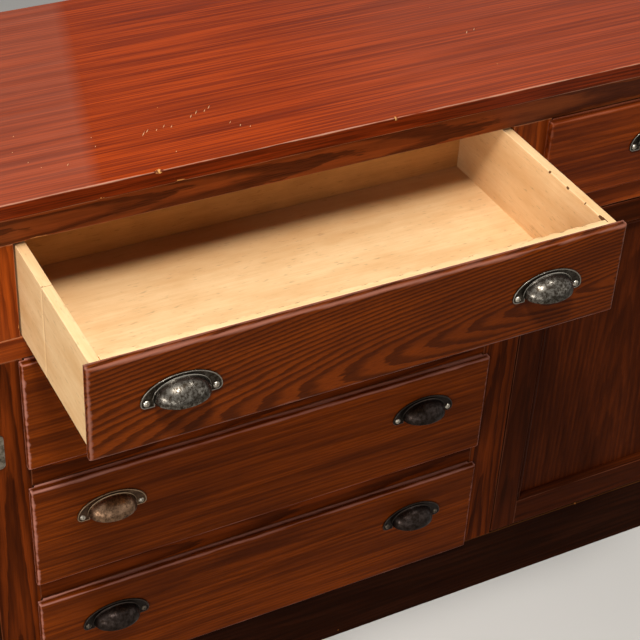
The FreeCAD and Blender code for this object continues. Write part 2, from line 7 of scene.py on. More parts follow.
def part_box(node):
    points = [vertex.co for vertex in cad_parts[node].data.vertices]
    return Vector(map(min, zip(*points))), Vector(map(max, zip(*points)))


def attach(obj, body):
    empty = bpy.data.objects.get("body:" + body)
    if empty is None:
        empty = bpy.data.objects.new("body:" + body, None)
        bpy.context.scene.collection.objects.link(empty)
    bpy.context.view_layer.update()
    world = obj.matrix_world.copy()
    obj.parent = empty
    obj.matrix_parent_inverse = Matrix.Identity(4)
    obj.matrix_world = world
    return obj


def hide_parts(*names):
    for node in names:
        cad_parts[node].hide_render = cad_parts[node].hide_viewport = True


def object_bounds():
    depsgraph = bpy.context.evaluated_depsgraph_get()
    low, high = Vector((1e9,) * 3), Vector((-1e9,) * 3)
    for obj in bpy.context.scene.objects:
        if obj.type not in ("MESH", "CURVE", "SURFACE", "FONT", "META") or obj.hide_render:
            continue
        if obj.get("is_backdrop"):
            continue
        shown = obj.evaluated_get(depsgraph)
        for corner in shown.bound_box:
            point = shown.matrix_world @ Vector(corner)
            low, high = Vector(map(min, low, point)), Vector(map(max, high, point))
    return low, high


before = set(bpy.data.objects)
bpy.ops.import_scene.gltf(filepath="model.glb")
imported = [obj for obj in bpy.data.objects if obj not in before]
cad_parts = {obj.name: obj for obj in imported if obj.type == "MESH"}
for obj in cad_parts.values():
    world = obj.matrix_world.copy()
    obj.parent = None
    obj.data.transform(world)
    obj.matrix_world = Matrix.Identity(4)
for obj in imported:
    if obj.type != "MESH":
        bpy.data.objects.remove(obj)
cad_low, cad_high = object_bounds()
MM = 0.001
X, Y, Z = 0, 1, 2
shown = bpy.context.scene
shown.view_settings.view_transform = "Standard"


# Colour and node helpers
def hex_colour(code):
    """An sRGB hex colour as linear RGBA."""
    parts = [int(code[i:i + 2], 16) / 255 for i in (1, 3, 5)]
    linear = [c / 12.92 if c <= 0.04045 else ((c + 0.055) / 1.055) ** 2.4 for c in parts]
    return (*linear, 1.0)


def plug(node, sockets):
    """Fills a node's sockets. Each takes a number, a hex colour, a node or another's socket."""
    for socket, value in sockets.items():
        if isinstance(value, bpy.types.Node):
            value = next(out for out in value.outputs if out.enabled)
        if isinstance(value, bpy.types.NodeSocket):
            node.id_data.links.new(value, node.inputs[socket])
        elif isinstance(value, str):
            node.inputs[socket].default_value = hex_colour(value)
        else:
            node.inputs[socket].default_value = value


def add(nodes, kind, sockets=None, **settings):
    """Adds a node with its settings and fills its sockets."""
    node = nodes.new(kind)
    for name, value in settings.items():
        setattr(node, name, value)
    plug(node, sockets or {})
    return node


def blend(nodes, share, below, above):
    """A colour between two others."""
    return add(nodes, "ShaderNodeMix", {0: share, 6: below, 7: above}, data_type="RGBA")


def carried(nodes, layer, output="Vector"):
    """What a mesh's points carry in a layer."""
    return add(nodes, "ShaderNodeAttribute", attribute_name=layer).outputs[output]


def new_material(name):
    """An empty node material, with its nodes and its surface shader."""
    material = bpy.data.materials.new(name)
    material.use_nodes = True
    nodes = material.node_tree.nodes
    nodes.clear()
    shader = add(nodes, "ShaderNodeBsdfPrincipled")
    add(nodes, "ShaderNodeOutputMaterial", {"Surface": shader})
    return material, nodes, shader


# Camera: the photograph looks down and to the right, over the left end of the middle bay
camera = bpy.data.objects.new("camera", bpy.data.cameras.new("camera"))
shown.collection.objects.link(camera)
camera.data.sensor_width = 36.0
camera.data.lens = 92.86
eye = Vector((-0.72215, -1.4005, 1.8044))
ahead = Vector((0.38943, 0.69601, -0.60325)).normalized()
rightward = Vector((0.88856, -0.45633, 0.04711)).normalized()
upward = rightward.cross(ahead)
camera.matrix_world = Matrix.Translation(eye) @ Matrix((rightward, upward, -ahead)).transposed().to_4x4()
shown.camera = camera


# Studio
def softbox(name, place, target, width, height, power):
    """A soft rectangular lamp that the camera doesn't see."""
    lamp = bpy.data.lights.new(name, "AREA")
    lamp.shape = "RECTANGLE"
    lamp.size = width
    lamp.size_y = height
    lamp.energy = power
    box = bpy.data.objects.new(name, lamp)
    shown.collection.objects.link(box)
    box.location = place
    box.rotation_euler = (Vector(target) - Vector(place)).to_track_quat("-Z", "Y").to_euler()
    box.visible_camera = False


# The worktop's edge throws the shadow that the photograph shows across the open drawer
softbox("ceiling_key", (-0.62, -1.1, 3.1), (0.0, -0.1, 0.75), 0.45, 0.45, 78.0)
softbox("ceiling_glint", (0.95, -0.6, 2.9), (0.0, -0.2, 0.8), 0.35, 0.35, 9.0)
softbox("front_fill", (-1.5, -2.6, 0.95), (0.0, 0.0, 0.6), 1.8, 0.9, 11.0)
softbox("left_fill", (-3.0, -1.3, 1.3), (-0.3, -0.1, 0.7), 1.2, 0.9, 42.0)
softbox("right_fill", (2.6, -2.0, 1.6), (0.2, 0.0, 0.5), 1.4, 1.4, 3.0)
softbox("back_fill", (-2.4, 2.6, 2.4), (0.0, 0.2, 0.6), 1.6, 1.2, 14.0)


def studio_world():
    """Soft fill from all round, and a white background to the camera, gloss and glass."""
    world = bpy.data.worlds.new("studio")
    world.use_nodes = True
    shown.world = world
    nodes = world.node_tree.nodes
    nodes.clear()
    ray = add(nodes, "ShaderNodeLightPath").outputs
    gloss = add(nodes, "ShaderNodeMath", {0: ray["Is Camera Ray"], 1: ray["Is Glossy Ray"]},
                operation="MAXIMUM")
    seen = add(nodes, "ShaderNodeMath", {0: gloss, 1: ray["Is Transmission Ray"]},
               operation="MAXIMUM")
    strength = add(nodes, "ShaderNodeMapRange", {0: seen, 3: 0.07, 4: 1.0})
    sky = add(nodes, "ShaderNodeBackground", {"Color": "#ffffff", "Strength": strength})
    add(nodes, "ShaderNodeOutputWorld", {"Surface": sky})


studio_world()


# Shapes
def new_mesh():
    """An empty mesh whose points carry the grain's place, the place in the board and its half size."""
    mesh = bmesh.new()
    for layer in ("grain", "local", "half"):
        mesh.verts.layers.float_vector.new(layer)
    mesh.verts.layers.float.new("bare")
    return mesh


def finish_piece(mesh, name, body, materials, stands_for=()):
    """Makes an object of the mesh, and says what it rides on and what it stands for."""
    bmesh.ops.recalc_face_normals(mesh, faces=mesh.faces)
    data = bpy.data.meshes.new(name)
    mesh.to_mesh(data)
    mesh.free()
    for material in materials:
        data.materials.append(material)
    for face in data.polygons:
        face.use_smooth = True
    piece = bpy.data.objects.new(name, data)
    shown.collection.objects.link(piece)
    piece.modifiers.new("even_faces", "WEIGHTED_NORMAL")
    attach(piece, body)
    if stands_for:
        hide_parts(*stands_for)


def solids(node):
    """The corners of each separate solid of a CAD node, from left to right, front to back, low to high."""
    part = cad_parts[node]
    places = [tuple(round(c, 5) for c in part.matrix_world @ point.co) for point in part.data.vertices]
    leader = {place: place for place in places}

    def first(place):
        while leader[place] != place:
            place = leader[place]
        return place

    for face in part.data.polygons:
        start = first(places[face.vertices[0]])
        for corner in face.vertices[1:]:
            leader[first(places[corner])] = start
    groups = {}
    for place in leader:
        groups.setdefault(first(place), []).append(place)
    boxes = []
    for group in groups.values():
        low = Vector([min(place[axis] for place in group) for axis in (X, Y, Z)])
        high = Vector([max(place[axis] for place in group) for axis in (X, Y, Z)])
        boxes.append((low, high))
    return sorted(boxes, key=lambda box: tuple(box[0]))


# Round a board's section: two of its four sides at each corner, then the arris's facets and the flat rows
# beside it. A chip this deep shows bare wood all over
corner_sides = ((0, 1), (2, 1), (2, 3), (0, 3))
many_facets = 5
few_facets = 2
facet_radius = 1.4 * MM
flat_margin = 1.8 * MM
face_margin = 7 * MM
face_share = 0.45
least_radius = 0.05 * MM
wear_share = 1.4
dip_share = 0.6
bare_chip = 1.1 * MM
# A dent's end flanks, and the depth under which it is a crack full of dirt
dent_flank = 0.1 * MM
crack_depth = 1 * MM
crack_face = 0.3 * MM


def join_rings(mesh, rings, closed=True):
    """Faces between each ring of points and the next."""
    faces = []
    for ring, following in zip(rings, rings[1:]):
        for i in range(len(ring) if closed else len(ring) - 1):
            j = (i + 1) % len(ring)
            faces.append(mesh.faces.new((ring[i], ring[j], following[j], following[i])))
    return faces


def worn_depth(place, seed, wear):
    """How far use has rounded an arris off at one place along it."""
    coarse = noise.noise(Vector((place * 14, seed, 0.3)))
    fine = noise.noise(Vector((place * 70, seed, 4.1)))
    return max(0.0, wear * (0.35 + 0.9 * coarse + 0.5 * fine))


def chip_depth(place, corner, seed, chips):
    """How deep the chips at one corner of a board's section go, at one place along it."""
    deepest = 0.0
    for at, spread, depth, chipped in chips:
        if chipped == corner and abs(place - at) < spread:
            ragged = 0.7 + 0.6 * noise.noise(Vector((place * 600, seed, corner)))
            deepest = max(deepest, depth * ragged * math.sqrt(1 - ((place - at) / spread) ** 2))
    return deepest


def section_spots(start, length, reach, ease, step, chips, dents):
    """How far along a board its sections lie: close together at its ends, chips and dents."""
    spots = {0.0, reach * 0.15, reach * 0.4, reach * 0.7, reach, ease * 0.3, ease}
    spots |= {length - spot for spot in spots}
    count = max(1, round((length - 2 * reach) / step))
    spots |= {reach + (length - 2 * reach) * i / count for i in range(1, count)}
    for place, spread, depth, corner in chips:
        spots |= {place - start + spread * part for part in (-1, -0.6, -0.2, 0.25, 0.65, 1)}
    for low_edge, high_edge, side, depth in dents:
        for edge in (low_edge - start, high_edge - start):
            spots |= {edge - dent_flank, edge + dent_flank}
    return sorted(spot for spot in spots if 0.0 <= spot <= length)


def add_board(mesh, low, high, along, seed=0.0, ease=0.7 * MM, front=None, pith=(0.0, -0.05), slope=0.02,
              drift=0.0, step=12 * MM, wear=0.25 * MM, chips=(), dents=(), material=0):
    """A sawn board with worn arrises. along is its grain's axis, front the radius round its front face,
    pith the heart's place from its middle across its width and thickness, slope the heart's tilt through
    the thickness and drift across the width. chips are (place, half length, depth, corner), and dents
    (start, end, side, depth), of which a shallow one is a crack full of dirt."""
    low, high = Vector(low), Vector(high)
    u_axis, v_axis = [axis for axis in (X, Y, Z) if axis != along]
    side_round = [ease] * 4
    if front is not None:
        side_round[0 if u_axis == Y else 1] = front
    radii = [max(side_round[a], side_round[b]) for a, b in corner_sides]
    turns = [many_facets if radius > facet_radius else few_facets for radius in radii]
    middle = (low + high) / 2
    half = (high - low) / 2
    wide_axis, thick_axis = (u_axis, v_axis) if half[u_axis] > half[v_axis] else (v_axis, u_axis)
    widths = (high[u_axis] - low[u_axis], high[v_axis] - low[v_axis])
    length = high[along] - low[along]
    grain = mesh.verts.layers.float_vector["grain"]
    local = mesh.verts.layers.float_vector["local"]
    half_size = mesh.verts.layers.float_vector["half"]
    bare = mesh.verts.layers.float["bare"]
    rings = []
    for spot in section_spots(low[along], length, max(side_round), ease, step, chips, dents):
        place = low[along] + spot
        near = min(spot, length - spot)
        insets = [r - math.sqrt(max(0.0, r * r - (r - near) ** 2)) if near < r else 0.0 for r in side_round]
        cracked = []
        for start, end, side, depth in dents:
            if start <= place <= end:
                insets[side] += depth
                cracked += [side] if depth < crack_depth else []
        box = [low[u_axis] + insets[0], low[v_axis] + insets[1],
               high[u_axis] - insets[2], high[v_axis] - insets[3]]
        ring = []
        for corner, (a, b) in enumerate(corner_sides):
            u_sign = 1 if a == 0 else -1
            v_sign = 1 if b == 1 else -1
            chip = chip_depth(place, corner, seed, chips)
            worn = wear_share * worn_depth(place, seed + corner * 3.7, wear) + chip
            radius = max(radii[corner] - max(insets[a], insets[b]), least_radius) + worn
            centre = (box[a] + u_sign * radius, box[b] + v_sign * radius)
            arc = []
            for turn in range(turns[corner] + 1):
                angle = math.pi / 2 * turn / turns[corner]
                dip = dip_share * chip * min(math.cos(angle), math.sin(angle))
                arc.append((centre[0] - u_sign * (radius * math.sin(angle) - dip),
                            centre[1] - v_sign * (radius * math.cos(angle) - dip),
                            min(1.0, chip / bare_chip)))
            edge = radius + flat_margin
            flat = [min(edge + face_margin, max(edge, face_share * width)) for width in widths]
            arc = ([(box[a] + u_sign * flat[0], box[b], 0.0), (box[a] + u_sign * edge, box[b], 0.0)] + arc
                   + [(box[a], box[b] + v_sign * edge, 0.0), (box[a], box[b] + v_sign * flat[1], 0.0)])
            ring += arc[::-1] if corner in (0, 2) else arc
        points = []
        for u, v, worn in ring:
            position = Vector((0.0, 0.0, 0.0))
            position[along] = place
            position[u_axis] = min(max(u, low[u_axis]), high[u_axis])
            position[v_axis] = min(max(v, low[v_axis]), high[v_axis])
            point = mesh.verts.new(position)
            away = position - middle
            thick = away[thick_axis] - pith[1] + slope * away[along]
            wide = away[wide_axis] - pith[0] + drift * away[along]
            point[grain] = Vector((place + seed * 1.7, wide, thick))
            point[local] = away
            point[half_size] = half
            sides = (u - box[0], v - box[1], box[2] - u, box[3] - v)
            point[bare] = 1.0 if any(abs(sides[side]) < crack_face for side in cracked) else worn
            points.append(point)
        rings.append(points)
    faces = join_rings(mesh, rings)
    faces += [mesh.faces.new(rings[0][::-1]), mesh.faces.new(rings[-1])]
    for face in faces:
        face.material_index = material


# Wood finishes
def wood(name, early, late, shade, worn, ring=4.4 * MM, ring_share=0.8, band=(0.25, 0.9), jag=0.4,
         fibre_share=0.35, streak_share=0.0, streak_scale=(3.5, 150.0), shade_share=0.5,
         tone_scale=(5.0, 26.0), rub_and_highlight_width=0.9 * MM, rub_and_highlight_share=0.6, specks=0.0, flecks=0.0,
         roughness=0.42, specular=0.3, raw="#c98f52", along=None, relief=0.08, rear_shade=None, reflection_tint=None):
    """Plain-sawn softwood under a finish: growth rings round the heart, fine fibres along the grain,
    slow changes of tone, and arrises rubbed paler, partly as a painted highlight on the fronts and the
    worktop. early and late are the two woods of a ring, and band is where in a ring the late wood sets
    in. Each share runs from 0 to 1, raw is bare or dirty wood in chips, specks and flecks, rear_shade the
    tone of the painted shade at the rear end and reflection_tint that of a painted reflection. along,
    where it is given, lays the grain by the object's own axes."""
    material, nodes, shader = new_material(name)
    own = add(nodes, "ShaderNodeTexCoord").outputs["Object"]
    if along is None:
        place = carried(nodes, "grain")
    else:
        parts = add(nodes, "ShaderNodeSeparateXYZ", {0: own}).outputs
        order = [along] + [axis for axis in (X, Y, Z) if axis != along]
        turned = add(nodes, "ShaderNodeCombineXYZ", {i: parts[axis] for i, axis in enumerate(order)})
        place = add(nodes, "ShaderNodeVectorMath", {0: turned, 1: (0.0, 0.11, 0.07)}, operation="ADD")

    def grain_noise(lengthwise, crosswise, detail):
        """Noise drawn out along the grain, at so many turns a metre each way."""
        drawn = add(nodes, "ShaderNodeVectorMath", {0: place, 1: (lengthwise, crosswise, crosswise)},
                    operation="MULTIPLY")
        return add(nodes, "ShaderNodeTexNoise", {"Vector": drawn, "Scale": 1.0, "Detail": detail}).outputs[0]

    # Rings about the heart, bent slowly and frayed along the grain
    across = add(nodes, "ShaderNodeVectorMath", {0: place, 1: (0.0, 1.0, 1.0)}, operation="MULTIPLY")
    radius = add(nodes, "ShaderNodeVectorMath", {0: across}, operation="LENGTH").outputs["Value"]
    bent = add(nodes, "ShaderNodeMath", {0: grain_noise(2.5, 22.0, 3.0), 1: 2.6 * ring, 2: radius},
               operation="MULTIPLY_ADD")
    frayed = add(nodes, "ShaderNodeMath", {0: grain_noise(32.0, 260.0, 3.0), 1: jag * ring, 2: bent},
                 operation="MULTIPLY_ADD")
    counted = add(nodes, "ShaderNodeMath", {0: frayed, 1: ring}, operation="DIVIDE")
    phase = add(nodes, "ShaderNodeMath", {0: counted}, operation="FRACT")
    rise = add(nodes, "ShaderNodeMapRange", {0: phase, 1: band[0], 2: band[1]},
               interpolation_type="SMOOTHSTEP")
    fall = add(nodes, "ShaderNodeMapRange", {0: phase, 1: 0.93, 2: 1.0, 3: 1.0, 4: 0.0})
    latewood = add(nodes, "ShaderNodeMath", {0: rise, 1: fall}, operation="MULTIPLY")
    fibre = grain_noise(9.0, 1100.0, 2.0)
    uneven = add(nodes, "ShaderNodeMapRange", {0: fibre, 1: 0.3, 2: 0.7, 3: 0.55 * ring_share,
                                                4: ring_share})
    ringed = add(nodes, "ShaderNodeMath", {0: latewood, 1: uneven}, operation="MULTIPLY")
    colour = blend(nodes, ringed, early, late)
    if streak_share:
        streak = add(nodes, "ShaderNodeMapRange", {0: grain_noise(*streak_scale, 5.0), 1: 0.44, 2: 0.58,
                                                    4: streak_share})
        colour = blend(nodes, streak, colour, late)
    tone = grain_noise(*tone_scale, 4.0)
    shaded = add(nodes, "ShaderNodeMapRange", {0: tone, 1: 0.42, 2: 0.72, 4: shade_share})
    colour = blend(nodes, shaded, colour, shade)
    dark_fibre = add(nodes, "ShaderNodeMapRange", {0: fibre, 1: 0.5, 2: 0.3, 4: fibre_share})
    colour = blend(nodes, dark_fibre, colour, shade)
    if flecks:
        blotch = add(nodes, "ShaderNodeMapRange", {0: grain_noise(38.0, 60.0, 6.0), 1: 0.4, 2: 0.68,
                                                    4: 0.4 * flecks})
        colour = blend(nodes, blotch, colour, shade)
        fleck = add(nodes, "ShaderNodeMapRange", {0: grain_noise(80.0, 380.0, 3.0), 1: 0.62, 2: 0.74,
                                                   4: flecks})
        colour = blend(nodes, fleck, colour, raw)
    # Painted shade: the colour darkens towards the board's rear end
    if rear_shade:
        depth = add(nodes, "ShaderNodeSeparateXYZ", {0: carried(nodes, "local")}).outputs[Y]
        rear_shade_mask = add(nodes, "ShaderNodeMapRange", {0: depth, 1: 0.0, 2: 0.13, 4: 0.55},
                   interpolation_type="SMOOTHSTEP")
        colour = blend(nodes, rear_shade_mask, colour, rear_shade)
    # A painted reflection, pale over the worktop's left end and faint to the right
    if reflection_tint:
        colour = blend(nodes, painted_reflection(nodes, own, tone), colour, reflection_tint)
    # Arrises rubbed paler; on the fronts and the worktop this is partly a painted highlight
    if along is None:
        colour = blend(nodes, rubbed_and_highlit_arris(nodes, place, rub_and_highlight_width, rub_and_highlight_share), colour, worn)
        grit = add(nodes, "ShaderNodeTexNoise", {"Vector": place, "Scale": 900.0, "Detail": 2.0})
        ragged = add(nodes, "ShaderNodeMath", {0: grit, 1: 0.7, 2: carried(nodes, "bare", "Fac")},
                     operation="MULTIPLY_ADD")
        chipped = add(nodes, "ShaderNodeMapRange", {0: ragged, 1: 1.0, 2: 1.12})
        colour = blend(nodes, chipped, colour, raw)
    if specks:
        cells = add(nodes, "ShaderNodeTexVoronoi", {"Vector": place, "Scale": 34.0})
        chance = add(nodes, "ShaderNodeSeparateColor", {0: cells.outputs["Color"]}).outputs[0]
        size = add(nodes, "ShaderNodeMapRange", {0: chance, 1: 1.0 - specks, 2: 1.0, 3: 0.0, 4: 0.045})
        spot = add(nodes, "ShaderNodeMath", {0: cells.outputs["Distance"], 1: size}, operation="LESS_THAN")
        colour = blend(nodes, spot, colour, raw)
    polish = add(nodes, "ShaderNodeMapRange", {0: tone, 1: 0.3, 2: 0.7, 3: roughness - 0.07,
                                                4: roughness + 0.09})
    pores = add(nodes, "ShaderNodeMath", {0: fibre, 1: 0.6, 2: ringed}, operation="MULTIPLY_ADD")
    bump = add(nodes, "ShaderNodeBump", {"Strength": 1.0, "Distance": relief * MM, "Height": pores})
    plug(shader, {"Base Color": colour, "Roughness": polish, "Specular IOR Level": specular,
                  "Normal": bump})
    return material


def painted_reflection(nodes, own, tone):
    """Where a reflection is painted on the worktop: left of one slanting line, and faintly to the right.
    The map ranges are in metres along the worktop."""
    x, y, _ = add(nodes, "ShaderNodeSeparateXYZ", {0: own}).outputs
    slant = add(nodes, "ShaderNodeMath", {0: y, 1: -0.26, 2: x}, operation="MULTIPLY_ADD")
    edge = add(nodes, "ShaderNodeMapRange", {0: slant, 1: -0.23, 2: -0.212, 3: 0.3, 4: 0.0})
    fade = add(nodes, "ShaderNodeMapRange", {0: slant, 1: -0.62, 2: -0.36})
    left = add(nodes, "ShaderNodeMath", {0: edge, 1: fade}, operation="MULTIPLY")
    right = add(nodes, "ShaderNodeMapRange", {0: slant, 1: 0.02, 2: 0.2, 3: 0.0, 4: 0.14})
    both = add(nodes, "ShaderNodeMath", {0: left, 1: right}, operation="ADD")
    uneven = add(nodes, "ShaderNodeMapRange", {0: tone, 1: 0.3, 2: 0.7, 3: 1.2, 4: 0.7})
    return add(nodes, "ShaderNodeMath", {0: both, 1: uneven}, operation="MULTIPLY")


def rubbed_and_highlit_arris(nodes, place, width, share):
    """Where hands and cloths have rubbed the finish, and on the fronts and the worktop a painted highlight,
    by the distance to the nearest arris.
    """
    away = add(nodes, "ShaderNodeVectorMath", {0: carried(nodes, "local")}, operation="ABSOLUTE")
    left = add(nodes, "ShaderNodeVectorMath", {0: carried(nodes, "half"), 1: away}, operation="SUBTRACT")
    x, y, z = add(nodes, "ShaderNodeSeparateXYZ", {0: left}).outputs
    nearer = add(nodes, "ShaderNodeMath", {0: x, 1: y}, operation="MINIMUM")
    further = add(nodes, "ShaderNodeMath", {0: x, 1: y}, operation="MAXIMUM")
    second = add(nodes, "ShaderNodeMath", {0: further, 1: z}, operation="MINIMUM")
    distance = add(nodes, "ShaderNodeMath", {0: nearer, 1: second}, operation="MAXIMUM")
    drawn = add(nodes, "ShaderNodeVectorMath", {0: place, 1: (14.0, 130.0, 130.0)}, operation="MULTIPLY")
    rub = add(nodes, "ShaderNodeTexNoise", {"Vector": drawn, "Scale": 1.0, "Detail": 5.0})
    reach = add(nodes, "ShaderNodeMapRange", {0: rub, 1: 0.35, 2: 0.7, 3: 0.7 * width, 4: 1.9 * width})
    inside = add(nodes, "ShaderNodeMath", {0: distance, 1: reach}, operation="DIVIDE")
    return add(nodes, "ShaderNodeMapRange", {0: inside, 1: 1.0, 2: 0.3, 3: 0.0, 4: share})


# Red-brown spirit stain under a clear varnish, rubbed glossy: straight streaks along the board, a painted
# reflection over it, and a pale front arris that is partly worn and partly a painted highlight
worktop_finish = wood("varnished_worktop_pine", "#a83c07", "#5c1603", "#4e1002", "#cf9a80", ring=3.6 * MM,
                      ring_share=0.2, jag=1.2, fibre_share=0.5, streak_share=0.6,
                      streak_scale=(4.0, 380.0), shade_share=0.5, tone_scale=(3.0, 80.0), roughness=0.2,
                      specular=0.03, specks=0.1, rub_and_highlight_width=1.3 * MM, rub_and_highlight_share=0.8, relief=0.03,
                      reflection_tint="#98604c")
# The worktop's front edge, darker than its top as painted shade; its pale upper arris is partly a painted
# highlight
shaded_edge_finish = wood("shaded_worktop_edge", "#7a2a0a", "#3c1003", "#2c0a02", "#c08a6c", ring=3.6 * MM,
                   ring_share=0.3, streak_share=0.7, streak_scale=(9.0, 420.0), roughness=0.3,
                   specular=0.07, rub_and_highlight_width=1.3 * MM, rub_and_highlight_share=0.85)
# The same stain on the face frame's upper members, thinner: orange-red with darker late wood
frame_finish = wood("stained_frame_pine", "#9c4410", "#4c1805", "#421304", "#b87850", ring_share=0.7,
                    streak_share=0.45, roughness=0.36, specular=0.04, specks=0.06)
# Lower down, the frame takes a darker copy of its stain, near black in the late wood, as painted shade
shaded_frame_finish = wood("shaded_frame_pine", "#702d09", "#280c02", "#2c0d02", "#94583a", ring_share=0.9,
                          streak_share=0.5, roughness=0.38, specular=0.015, specks=0.05, rub_and_highlight_share=0.4)
# The bottom rail: near black as painted shade down by the floor, and scuffed through at its edges
shaded_kick_finish = wood("scuffed_shaded_bottom_rail", "#2e1206", "#140601", "#110401", "#5a3418", ring_share=0.5,
                   streak_share=0.5, roughness=0.45, specular=0.01, specks=0.3, raw="#8a5426",
                   rub_and_highlight_width=1.4 * MM, rub_and_highlight_share=0.6)
# The top rail: a brown board with broad dark tongues of late wood
top_rail_finish = wood("figured_rail_pine", "#94481c", "#3c1607", "#50200c", "#b07c54", ring=7.0 * MM,
                       ring_share=0.95, band=(0.3, 0.7), jag=0.6, streak_share=0.3, roughness=0.34,
                       specular=0.08, specks=0.05, rub_and_highlight_share=0.5)
# The open drawer's front: orange early wood in broad tongues between dark late wood, an old varnish, and a
# painted highlight along its lip
front_finish = wood("figured_front_pine", "#702f08", "#2a0e03", "#341206", "#94604e", ring=4.9 * MM,
                    ring_share=0.85, band=(0.3, 0.72), jag=0.5, fibre_share=0.4, shade_share=0.5,
                    roughness=0.3, specular=0.03, specks=0.1, rub_and_highlight_width=3.0 * MM, rub_and_highlight_share=0.75)
# The other fronts: a quieter board with the same stain, and a painted highlight along their lips
plain_front_finish = wood("plain_front_pine", "#7a3409", "#381304", "#300f05", "#b87c6a", ring=5.2 * MM,
                          ring_share=0.4, jag=0.8, streak_share=0.5, roughness=0.3, specular=0.02,
                          specks=0.06, rub_and_highlight_width=2.6 * MM, rub_and_highlight_share=0.7)
# The small drawers' fronts kept more of the red, with a painted highlight along their lips
small_front_finish = wood("red_front_pine", "#86380e", "#421606", "#38120a", "#a4624a", ring=5.6 * MM,
                          ring_share=0.5, jag=0.8, streak_share=0.5, roughness=0.3, specular=0.045,
                          specks=0.1, rub_and_highlight_width=1.9 * MM, rub_and_highlight_share=0.45)
# Doors took the stain darkest, are darker still as painted shade, and lost their shine
stained_and_shaded_door_finish = wood("stained_shaded_door_pine", "#4a1c06", "#1e0902", "#190702", "#784834", ring_share=0.55,
                   streak_share=0.4, roughness=0.42, specular=0.015, specks=0.06, rub_and_highlight_share=0.45)
# Their panels show broad flames of redder wood
panel_finish = wood("flamed_panel_pine", "#522008", "#240b03", "#1f0903", "#784834", ring=7.5 * MM,
                    ring_share=0.5, band=(0.2, 0.8), jag=0.7, streak_share=0.4, roughness=0.42,
                    specular=0.015, specks=0.1, rub_and_highlight_share=0.35)
# Bare pine inside the drawers, yellowed by age, with faint rings, rub marks and dirt in its nicks
raw_cut = {"ring": 6.5 * MM, "ring_share": 0.16, "band": (0.1, 0.9), "jag": 1.5, "fibre_share": 0.2,
           "streak_share": 0.1, "shade_share": 0.45, "tone_scale": (9.0, 24.0), "roughness": 0.62,
           "specular": 0.1, "flecks": 0.3, "rub_and_highlight_share": 0.25, "raw": "#5c381a"}
# The drawers' sides and bottoms darken towards the rear as painted shade
drawer_finish = wood("raw_drawer_pine", "#f5ce99", "#e3ab6c", "#cf9556", "#fbe0b4", rear_shade="#a06c38",
                     **raw_cut)
# The drawers' backs, darker brown as painted shade
shaded_drawer_back_finish = wood("shaded_drawer_back_pine", "#cb965a", "#a8743c", "#8e5f30", "#d8ac74", **raw_cut)
# Bare pine of the carcass, never finished and gone brown with age and dust
carcass_finish = wood("raw_carcass_pine", "#9c6c3c", "#7e5028", "#624020", "#b08656", ring=5.5 * MM,
                      ring_share=0.4, roughness=0.7, specular=0.1, rub_and_highlight_share=0.3)
# Rough-sawn back boarding, greyed
boarding_finish = wood("rough_back_boarding", "#b88c5c", "#72502e", "#5c4028", "#8a6a4a", ring=7.0 * MM,
                       ring_share=0.85, band=(0.3, 0.75), fibre_share=0.6, streak_share=0.4, shade_share=0.7,
                       specks=0.3, raw="#4a3220", roughness=0.8, specular=0.1, relief=0.2)
# Raised pale fibres where the varnish is scratched through
scratch_finish = wood("scratched_bare_fibres", "#e6bd8c", "#d09a62", "#c08a55", "#e6bd8c", along=0,
                      ring_share=0.3, roughness=0.6, specular=0.1)


# Metal finishes
def metal(name, bright, dull, grime, roughness, patches=120.0, grime_share=0.5, rubbed=None):
    """Old plated or cast metal: a bright skin, duller patches and brown grime, and rims rubbed bright."""
    material, nodes, shader = new_material(name)
    place = add(nodes, "ShaderNodeTexCoord").outputs["Object"]
    patch = add(nodes, "ShaderNodeTexNoise", {"Vector": place, "Scale": patches, "Detail": 5.0,
                                               "Roughness": 0.65})
    fine = add(nodes, "ShaderNodeTexNoise", {"Vector": place, "Scale": patches * 6.0, "Detail": 3.0})
    share = add(nodes, "ShaderNodeMapRange", {0: patch.outputs[0], 1: 0.4, 2: 0.62})
    colour = blend(nodes, share, bright, dull)
    dirt = add(nodes, "ShaderNodeMath", {0: patch.outputs[0], 1: fine.outputs[0]}, operation="MULTIPLY")
    dirt = add(nodes, "ShaderNodeMapRange", {0: dirt, 1: 0.22, 2: 0.34, 4: grime_share})
    colour = blend(nodes, dirt, colour, grime)
    if rubbed:
        bare = carried(nodes, "bare", "Fac")
        flange = add(nodes, "ShaderNodeMapRange", {0: bare, 1: 0.02, 2: 0.1, 3: 0.7, 4: 0.0})
        colour = blend(nodes, flange, colour, grime)
        rim = add(nodes, "ShaderNodeMapRange", {0: bare, 1: 0.45, 2: 0.95})
        colour = blend(nodes, rim, colour, rubbed)
    polish = add(nodes, "ShaderNodeMapRange", {0: patch.outputs[0], 1: 0.35, 2: 0.65,
                                                3: roughness - 0.08, 4: roughness + 0.15})
    bump = add(nodes, "ShaderNodeBump", {"Strength": 0.5, "Distance": 0.05 * MM, "Height": fine})
    plug(shader, {"Base Color": colour, "Roughness": polish, "Metallic": 1.0, "Normal": bump})
    return material


# Pewter-plated pressings, tarnished brown where hands don't rub them
pewter = metal("aged_pewter_plate", "#6a645b", "#342e27", "#21190f", 0.27, patches=300.0, grime_share=0.8,
               rubbed="#8c8478")
# The same pressing with its plating rubbed through to the bronze
worn_bronze = metal("worn_bronze_plate", "#7d6049", "#553f2e", "#2e2015", 0.3, patches=90.0, grime_share=0.6,
                    rubbed="#8c745a")
# Pressings nearly black: browned bronze, and painted shade on the lower pulls
browned_and_shaded_bronze = metal("browned_and_shaded_bronze_plate", "#322a26", "#211a16", "#17100b", 0.34, patches=200.0,
                    grime_share=0.7, rubbed="#3c332d")
